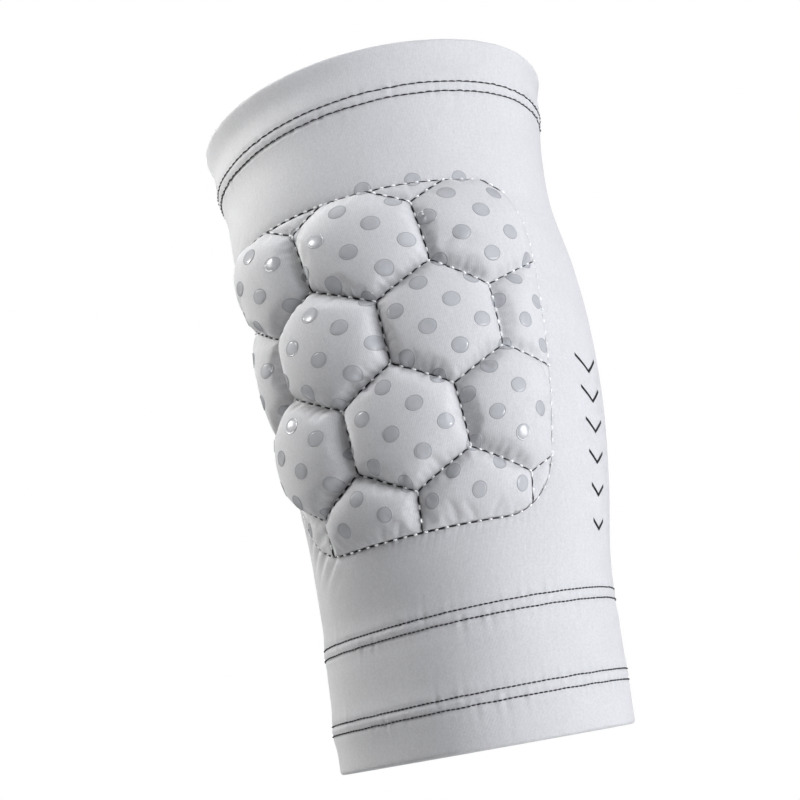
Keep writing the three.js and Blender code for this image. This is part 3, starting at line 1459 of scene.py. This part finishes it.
    def _puff(self, top: np.ndarray, triangles: np.ndarray, sewn: np.ndarray) -> np.ndarray:
        """Blow the cover up as cloth that is sewn down at its seams.

        Args:
            top: points of the cover, in metres.
            triangles: vertex numbers of the triangles.
            sewn: whether each point is sewn down.

        Returns:
            The points after the simulation, none further moved than the cap.
        """
        piece = make_piece("cover_cloth", top * self.cloth_scale, triangles.tolist())
        pins = piece.vertex_groups.new(name="sewn")
        pins.add(np.flatnonzero(sewn).tolist(), 1.0, "REPLACE")
        cloth = piece.modifiers.new("Cloth", "CLOTH")
        for name, value in CLOTH_RULES.items():
            setattr(cloth.settings, name, value)
        cloth.settings.vertex_group_mass = pins.name
        cloth.settings.effector_weights.gravity = 0
        cloth.collision_settings.use_collision = False
        scene = bpy.context.scene
        for step in range(1, self.cloth_frames + 1):
            scene.frame_set(step)
        graph = bpy.context.evaluated_depsgraph_get()
        moved = np.zeros(len(top) * 3)
        piece.evaluated_get(graph).data.vertices.foreach_get("co", moved)
        shift = moved.reshape(-1, 3) / self.cloth_scale - top
        size = np.linalg.norm(shift, axis=1, keepdims=True)
        LOG.info("cover moved %.2f mm at most", size.max() / MM)
        mesh = piece.data
        bpy.data.objects.remove(piece)
        bpy.data.meshes.remove(mesh)
        scene.frame_set(1)
        return top + shift * np.minimum(1, self.cloth_cap * MM / np.maximum(size, TINY))


# Surface that stitches, dots and print lie on


class SewnSurface:
    """Finds the outermost point of the dressed sleeve at a turn and an along."""

    def __init__(self, pieces: Iterable[Piece], start_out: float = 25.0) -> None:
        """Keep a search tree of the pieces.

        Args:
            pieces: the knit and the pad.
            start_out: distance off the knit from which the search looks inwards.
        """
        points, faces = [], []
        for piece in pieces:
            first = len(points)
            points.extend(vertex.co.copy() for vertex in piece.data.vertices)
            faces.extend([first + corner for corner in polygon.vertices] for polygon in piece.data.polygons)
        self.tree = BVHTree.FromPolygons(points, faces)
        self.start_out = start_out

    def at(self, turn: np.ndarray, along: np.ndarray | float, lift: float) -> np.ndarray:
        """Find points that lie a lift off the surface.

        Args:
            turn: angles round the arm, in degrees.
            along: heights on the centre line.
            lift: distance off the surface, in millimetres.

        Returns:
            Points in metres, one row each.
        """
        turn, along = np.broadcast_arrays(np.asarray(turn, float), np.asarray(along, float))
        starts = ARM.point(turn, along, self.start_out)
        ways = -ARM.outward(turn, along)
        found = []
        for start, way in zip(starts, ways):
            place, normal, _, _ = self.tree.ray_cast(Vector(start), Vector(way))
            found.append(np.array(place) + np.array(normal) * lift * MM)
        return np.array(found)


# Stitching


@dataclass
class ThreadWork:
    """A run of stitches, each a rounded length of thread that dips into the cloth at both ends."""

    name: str
    radius: float
    sides: int = 6
    stations: tuple[float, ...] = (0.0, 0.12, 0.4, 0.6, 0.88, 1.0)
    end_share: float = 0.35
    sink: float = 0.25
    points: list[np.ndarray] = field(default_factory=list)
    faces: list[list[int]] = field(default_factory=list)
    uvs: list[tuple[float, float]] = field(default_factory=list)
    count: int = 0

    def add(self, line: np.ndarray, outward: np.ndarray, slimness: float = 1.0) -> None:
        """Add one stitch.

        Args:
            line: points under the thread's stations, in metres.
            outward: unit vectors off the cloth at the stations.
            slimness: share of the full thickness that shows.
        """
        arch = np.sin(np.pi * np.array(self.stations))
        full = self.radius * slimness * MM
        radius = full * (self.end_share + (1 - self.end_share) * np.sqrt(np.clip(arch, 0, 1)))
        line = line + outward * ((arch - self.sink) * full)[:, None]
        way = np.gradient(line, axis=0)
        way /= np.linalg.norm(way, axis=1)[:, None]
        side = np.cross(way, outward)
        side /= np.linalg.norm(side, axis=1)[:, None]
        over = np.cross(side, way)
        angle = np.linspace(0, 2 * np.pi, self.sides, endpoint=False)
        ring = np.cos(angle)[None, :, None] * side[:, None] + np.sin(angle)[None, :, None] * over[:, None]
        self.points.append((line[:, None] + ring * radius[:, None, None]).reshape(-1, 3))
        self._skin(runs_along(line) / MM)

    def _skin(self, length: np.ndarray) -> None:
        """Close the rings of one stitch with faces.

        Args:
            length: run along the stitch at each station, in millimetres.
        """
        first, sides, rows = self.count, self.sides, len(length)
        for row in range(rows - 1):
            for step in range(sides):
                beside = (step + 1) % sides
                a, b = first + row * sides + step, first + row * sides + beside
                self.faces.append([a, b, b + sides, a + sides])
                round_a, round_b = step / sides, (step + 1) / sides
                self.uvs += [(length[row], round_a), (length[row], round_b)]
                self.uvs += [(length[row + 1], round_b), (length[row + 1], round_a)]
        for row, order in ((0, -1), (rows - 1, 1)):
            self.faces.append([first + row * sides + step for step in range(sides)][::order])
            self.uvs += [(length[row], step / sides) for step in range(sides)][::order]
        self.count += rows * sides

    def build(self, material: Material, slot: Slot) -> None:
        """Make and dress the mesh of all the stitches."""
        piece = make_piece(self.name, np.concatenate(self.points), self.faces, np.array(self.uvs))
        dress(piece, material)


@dataclass
class TwinNeedle:
    """Pairs of dark stitch lines round the cuffs."""

    surface: SewnSurface
    lift: float = 0.05
    mean_radius: float = 53.0
    sway: float = 0.08
    sway_quick: float = 0.9
    sway_slow: float = 0.13

    def build(self, material: Material) -> None:
        """Sew each line.

        Args:
            material: the thread's material.
        """
        for index, pair in enumerate(STITCH_PAIRS):
            work = ThreadWork(f"twin_stitch_{index + 1}", pair.thread / 2)
            count = round(2 * math.pi * self.mean_radius / pair.pitch)
            for along in (pair.upper, pair.lower):
                for stitch in range(count):
                    place = stitch + np.array(work.stations) * pair.length / pair.pitch
                    turn = -180 + 360 / count * place
                    sway = math.sin(self.sway_quick * stitch) * math.sin(self.sway_slow * stitch + along)
                    swayed = np.full_like(turn, along + self.sway * sway)
                    work.add(self.surface.at(turn, swayed, self.lift), ARM.outward(turn, swayed))
            work.build(material, Slot.SEAM_THREAD)


@dataclass
class SeamStitches:
    """Two-tone stitches along the pad's seams and outline: dark lengths parted by pale needle points."""

    pattern: QuiltPattern
    surface: SewnSurface
    pitch: float = 3.9
    lift: float = 0.1
    dark_share: float = 0.68
    dark_radius: float = 0.29
    pale_radius: float = 0.38
    pale_sink: float = -0.2
    pale_end_share: float = 0.5
    sunk_from: float = 15.0
    sunk_over: float = 35.0
    dark_sunk: float = 0.8
    pale_sunk: float = 0.1
    seam_sunk: float = 0.4
    edge_sunk: float = 1.0

    def _slimness(self, sunk: float, flat: np.ndarray) -> float:
        """Share of a stitch that shows: towards the pad's right edge the thread sinks into the knit."""
        return float(1 - sunk * ramp(flat[:, 0].mean(), self.sunk_from, self.sunk_over))

    def _sew(self, dark: ThreadWork, pale: ThreadWork, run: np.ndarray, depth: float) -> None:
        """Sew along one run of flat points.

        Args:
            dark: the long stitches.
            pale: the needle points.
            run: flat points of the run.
            depth: share of the full sinking.
        """
        lengths = runs_along(run)
        count = max(1, round(lengths[-1] / self.pitch))
        pitch = lengths[-1] / count
        for stitch in range(count):
            for work, start, end, sunk in (
                (dark, 0.0, self.dark_share, self.dark_sunk),
                (pale, self.dark_share, 1.0, self.pale_sunk),
            ):
                place = pitch * (stitch + start + (end - start) * np.array(work.stations))
                flat = np.stack([np.interp(place, lengths, run[:, axis]) for axis in range(2)], axis=-1)
                turn, along = self.pattern.to_arm(flat)
                line = self.surface.at(turn, along, self.lift)
                work.add(line, ARM.outward(turn, along), self._slimness(sunk * depth, flat))

    def build(self, dark_thread: Material, pale_thread: Material) -> None:
        """Sew every seam and the outline.

        Args:
            dark_thread: material of the long stitches.
            pale_thread: material of the needle points.
        """
        closed = np.concatenate([self.pattern.outline, self.pattern.outline[:1]])
        pale_form = {"sink": self.pale_sink, "end_share": self.pale_end_share}
        for name, depth, runs in (
            ("pad_seam", self.seam_sunk, self.pattern.seams),
            ("pad_edge", self.edge_sunk, [closed]),
        ):
            dark = ThreadWork(f"{name}_stitch", self.dark_radius)
            pale = ThreadWork(f"{name}_needle_points", self.pale_radius, **pale_form)
            for run in runs:
                self._sew(dark, pale, run, depth)
            dark.build(dark_thread, Slot.SEAM_THREAD)
            pale.build(pale_thread, Slot.NEEDLE_THREAD)


# Grip dots and print


@dataclass(frozen=True)
class DotRing:
    """A ring of a dot: its share of the radius, and its lift off the cover."""

    share: float
    lift: float


@dataclass
class GripDots:
    """Round silicone dots in staggered rows over the pad, each with a fine rim."""

    pattern: QuiltPattern
    surface: SewnSurface
    half_turn: float = 8.7
    half_rise: float = 7.3
    spread: float = 0.006
    crowd: float = 0.08
    droop: float = 0.027
    slant: float = 0.015
    first_turn: float = -11.3
    first_along: float = -16.8
    rows: range = range(-5, 11)
    first_step: int = -8
    last_step: int = 10
    bare_places: tuple[tuple[int, int], ...] = ((-3, 7), (1, 7), (8, 8))
    top: float = 58.0
    foot: float = -47.0
    radius_up: float = 2.5
    radius_round: float = 2.8
    growth_up: float = 0.004
    growth_right: float = -0.006
    astride_from: float = 50.0
    overhang: float = 1.8
    left_clear: float = 3.5
    right_clear: float = 2.0
    sides: int = 28
    rings: tuple[DotRing, ...] = (
        DotRing(share=0.35, lift=0.14),
        DotRing(share=0.65, lift=0.14),
        DotRing(share=0.79, lift=0.13),
        DotRing(share=0.85, lift=0.04),
        DotRing(share=0.91, lift=0.18),
        DotRing(share=0.96, lift=0.13),
        DotRing(share=1.0, lift=-0.06),
    )

    def _centres(self) -> list[tuple[float, float]]:
        """Place the dots on a staggered grid that spreads, slants and droops, and leave some places bare.

        Returns:
            Turn and along of each dot.
        """
        places = []
        for row in self.rows:
            for step in range(self.first_step + row % 2, self.last_step + 1, 2):
                pitch = self.half_turn * (1 + self.spread * row) - self.crowd * step
                turn = self.first_turn + step * pitch
                sag = step * (self.slant * row + self.droop * step)
                along = self.first_along + row * self.half_rise - sag
                printed = (row, step) not in self.bare_places and self.foot < along < self.top
                if printed and self._clear_of_rim(turn, along):
                    places.append((turn, along))
        return places

    def _clear_of_rim(self, turn: float, along: float) -> bool:
        """Find whether a dot is far enough inside the outline, or sits astride it at the upper right.

        Args:
            turn: angle of the dot's middle, in degrees.
            along: height of the dot's middle.

        Returns:
            Whether there is room for the dot.
        """
        flat = self.pattern.to_flat(np.array([turn]), np.array([along]))
        gap = self.pattern.rim_distance(flat)[0] * (1 if self.pattern.inside(flat)[0] else -1)
        if turn <= 0:
            return gap > self.left_clear
        return gap > (-self.overhang if along > self.astride_from else self.right_clear)

    def build(self, material: Material) -> None:
        """Make the dots.

        Args:
            material: the silicone's material.
        """
        angle = np.linspace(0, 2 * np.pi, self.sides, endpoint=False)
        shares = np.concatenate([[0.0], np.repeat([ring.share for ring in self.rings], self.sides)])
        points, faces = [], []
        for index, (turn, along) in enumerate(self._centres()):
            first = index * len(shares)
            points.append(self.surface.at(np.array([turn]), np.array([along]), self.rings[0].lift))
            radius_round = self.radius_round + self.growth_up * along + self.growth_right * turn
            for ring in self.rings:
                ring_turn = turn + np.degrees(radius_round * ring.share * np.sin(angle) / FLAT_RADIUS)
                ring_along = along - self.radius_up * ring.share * np.cos(angle)
                points.append(self.surface.at(ring_turn, ring_along, ring.lift))
            for step in range(self.sides):
                beside = (step + 1) % self.sides
                faces.append([first, first + 1 + step, first + 1 + beside])
                for ring_number in range(len(self.rings) - 1):
                    inner = first + 1 + ring_number * self.sides
                    outer = inner + self.sides
                    faces.append([inner + step, outer + step, outer + beside, inner + beside])
        # The flat X of each corner is its share of the dot's radius, which places the painted rim shade.
        uvs = [(shares[corner % len(shares)], 0.0) for face in faces for corner in face]
        piece = make_piece("grip_dots", np.concatenate(points), faces, np.array(uvs))
        dress(piece, material)


@dataclass
class SidePrint:
    """A plain column of thin chevrons printed on the side of the sleeve, smaller towards its foot."""

    surface: SewnSurface
    middle_turn: float = 80.0
    first_along: float = -6.0
    spacing: float = 10.5
    count: int = 6
    shrink: float = 0.09
    half_width: float = 8.5
    drop: float = 5.0
    line: float = 1.2
    lift: float = 0.06
    steps: int = 14

    def build(self, material: Material) -> None:
        """Make the printed lines.

        Args:
            material: the ink's material.
        """
        share = np.linspace(-1, 1, 2 * self.steps + 1)
        width = len(share)
        points, faces = [], []
        for chevron in range(self.count):
            size = 1 - self.shrink * chevron
            turn = self.middle_turn + np.degrees(self.half_width * size * share / FLAT_RADIUS)
            ridge = self.first_along - self.spacing * chevron - self.drop * size * (1 - np.abs(share))
            for edge in (-self.line / 2, self.line / 2):
                points.append(self.surface.at(turn, ridge + edge, self.lift))
            for low in range(2 * width * chevron, 2 * width * chevron + width - 1):
                faces.append([low, low + 1, low + width + 1, low + width])
        piece = make_piece("side_print", np.concatenate(points), faces)
        dress(piece, material)


# Studio


@dataclass(frozen=True)
class SoftLight:
    """An area light at a bearing from the elbow in the camera's view. A glint shows in gloss alone."""

    name: str
    right: float
    up: float
    size: float
    power: float
    distance: float = 1.3
    colour: Colour = WHITE
    glint: bool = False


@dataclass(frozen=True)
class ViewAxes:
    """The camera's right, up and backward directions."""

    right: Vector
    up: Vector
    back: Vector

    def bearing(self, right: float, up: float) -> Vector:
        """Direction from the elbow.

        Args:
            right: angle to the right of the camera, in degrees.
            up: angle above it, in degrees.

        Returns:
            A unit vector.
        """
        side, rise = math.radians(right), math.radians(up)
        level = self.back * math.cos(side) + self.right * math.sin(side)
        return level * math.cos(rise) + self.up * math.sin(rise)


@dataclass
class Studio:
    """Camera at the photograph's angle, soft lights, a pale floor and a white room."""

    azimuth: float = 14.5
    elevation: float = -15.0
    roll: float = 12.0
    distance: float = 1100.0
    picture_width: float = 272.0
    aim_right: float = -11.3
    aim_up: float = -2.6
    sensor: float = 36.0
    floor_height: float = -800.0
    floor_size: float = 8000.0
    floor_tones: tuple[float, float] = (0.82, 0.86)
    floor_grain: float = 3.0
    floor_roughness: float = 0.9
    floor_glow: float = 1.05
    room_light: float = 0.03
    lights: tuple[SoftLight, ...] = (
        SoftLight("right_light", right=60, up=4, size=0.8, power=8.4, colour=COOL),
        SoftLight("right_glint", right=51, up=2, size=0.45, power=8.5, glint=True),
        SoftLight("low_right_light", right=45, up=-10, size=0.8, power=1.6, colour=COOL),
        SoftLight("high_right_light", right=40, up=30, size=0.8, power=10.5, colour=COOL),
        SoftLight("far_right_light", right=130, up=15, size=0.8, power=5.0, colour=COOL),
        SoftLight("top_light", right=0, up=75, size=0.8, power=4.6, colour=COOL),
        SoftLight("left_light", right=-111, up=6, size=0.5, power=10.0),
        SoftLight("left_glint", right=-84, up=20, size=0.2, power=3.5, glint=True),
        SoftLight("far_left_glint", right=-112, up=12, size=0.15, power=2.5, glint=True),
        SoftLight("high_left_light", right=-125, up=30, size=0.5, power=5.7),
        SoftLight("near_left_light", right=-95, up=35, size=0.3, power=1.3, distance=0.5),
        SoftLight("rear_light", right=180, up=25, size=0.8, power=4.0),
    )

    def _axes(self) -> ViewAxes:
        """Work out the camera's directions.

        Returns:
            The directions, with the camera's roll.
        """
        azimuth, elevation, roll = np.radians([self.azimuth, self.elevation, self.roll])
        level = math.cos(elevation)
        back = Vector((math.sin(azimuth) * level, -math.cos(azimuth) * level, math.sin(elevation)))
        right = Vector((math.cos(azimuth), math.sin(azimuth), 0))
        up = back.cross(right)
        turned_right = right * math.cos(roll) - up * math.sin(roll)
        turned_up = right * math.sin(roll) + up * math.cos(roll)
        return ViewAxes(turned_right, turned_up, back)

    def build(self) -> None:
        """Make the camera, the lights, the floor and the room."""
        axes = self._axes()
        self._camera(axes)
        for light in self.lights:
            self._light(light, axes)
        self._floor()
        self._room()

    def _camera(self, axes: ViewAxes) -> None:
        """Make the camera.

        Args:
            axes: the camera's directions.
        """
        lens = bpy.data.cameras.new("camera")
        lens.sensor_width = self.sensor
        lens.lens = self.sensor * self.distance / self.picture_width
        camera = bpy.data.objects.new("camera", lens)
        place = (axes.back * self.distance + axes.right * self.aim_right + axes.up * self.aim_up) * MM
        turned = Matrix((axes.right, axes.up, axes.back)).transposed().to_4x4()
        camera.matrix_world = Matrix.Translation(place) @ turned
        bpy.context.scene.collection.objects.link(camera)
        bpy.context.scene.camera = camera

    def _light(self, light: SoftLight, axes: ViewAxes) -> None:
        """Make one soft light that faces the elbow.

        Args:
            light: the light's sizes and place.
            axes: the camera's directions.
        """
        way = axes.bearing(light.right, light.up)
        lamp = bpy.data.lights.new(light.name, "AREA")
        lamp.shape = "DISK"
        lamp.size = light.size
        lamp.energy = light.power
        lamp.color = light.colour
        item = bpy.data.objects.new(light.name, lamp)
        item.location = way * light.distance
        item.visible_glossy = light.glint
        item.visible_diffuse = not light.glint
        item.rotation_euler = way.to_track_quat("Z", "Y").to_euler()
        bpy.context.scene.collection.objects.link(item)

    def _floor(self) -> None:
        """Make the pale floor, which looks white to the camera alone."""
        half, height = self.floor_size * MM / 2, self.floor_height * MM
        square = ((-half, -half), (half, -half), (half, half), (-half, half))
        floor = make_piece("floor", np.array([(x, y, height) for x, y in square]), [[0, 1, 2, 3]])
        material, canvas, shader = start_material("floor_paper")
        grain = canvas.add("ShaderNodeTexNoise")
        canvas.feed(grain, {"Scale": self.floor_grain})
        low, high = (scaled(WHITE, tone) for tone in self.floor_tones)
        tone = canvas.shade(grain.outputs["Fac"], low, high, MASK_MIDDLE)
        seen = canvas.add("ShaderNodeLightPath").outputs["Is Camera Ray"]
        looks = {
            "Base Color": tone,
            "Emission Color": tone,
            "Emission Strength": canvas.math("MULTIPLY", seen, self.floor_glow),
            "Roughness": self.floor_roughness,
        }
        canvas.feed(shader, looks)
        floor.data.materials.append(material)

    def _room(self) -> None:
        """Make a room that looks white and lights softly."""
        scene = bpy.context.scene
        world = bpy.data.worlds.new("room")
        world.use_nodes = True
        canvas = NodeCanvas(world.node_tree)
        seen = canvas.add("ShaderNodeLightPath").outputs["Is Camera Ray"]
        strength = canvas.add("ShaderNodeMapRange")
        canvas.feed(strength, {"Value": seen, "To Min": self.room_light, "To Max": 1.0})
        background = world.node_tree.nodes["Background"]
        canvas.feed(background, {"Strength": strength.outputs["Result"], "Color": (*WHITE, 1.0)})
        scene.world = world
        scene.view_settings.view_transform = "Standard"
        scene.view_settings.look = "None"


def main() -> None:
    """Build the studio and every piece of the sleeve."""
    logging.basicConfig(level=logging.INFO, format="%(message)s")
    Studio().build()
    groups = Groups(knit=FineKnit().build(), mottle=ClothMottle().build())
    pale_knit = KnitFinish("pale_knit", colour=(0.655, 0.655, 0.66)).build(groups)
    pad_knit = KnitFinish("pad_knit", colour=(0.655, 0.655, 0.66)).build(groups)
    dark_thread = ThreadFinish("dark_thread", colour=(0.022, 0.022, 0.026)).build(groups)
    pale_thread = ThreadFinish("pale_thread", colour=(0.97, 0.97, 0.96), fade=0.92).build(groups)
    silicone = SiliconeFinish("grey_silicone", colour=(0.445, 0.45, 0.465)).build(groups)
    ink = PrintFinish("black_ink", colour=(0.012, 0.012, 0.014)).build(groups)

    pattern = QuiltPattern()
    knit = KnitBody(KnitRelief(pattern)).build(pale_knit)
    pad = QuiltedPad(pattern).build(pad_knit)
    surface = SewnSurface([*knit, pad])
    TwinNeedle(surface).build(dark_thread)
    SeamStitches(pattern, surface).build(dark_thread, pale_thread)
    GripDots(pattern, surface).build(silicone)
    SidePrint(surface).build(ink)


if __name__ == "__main__":
    main()
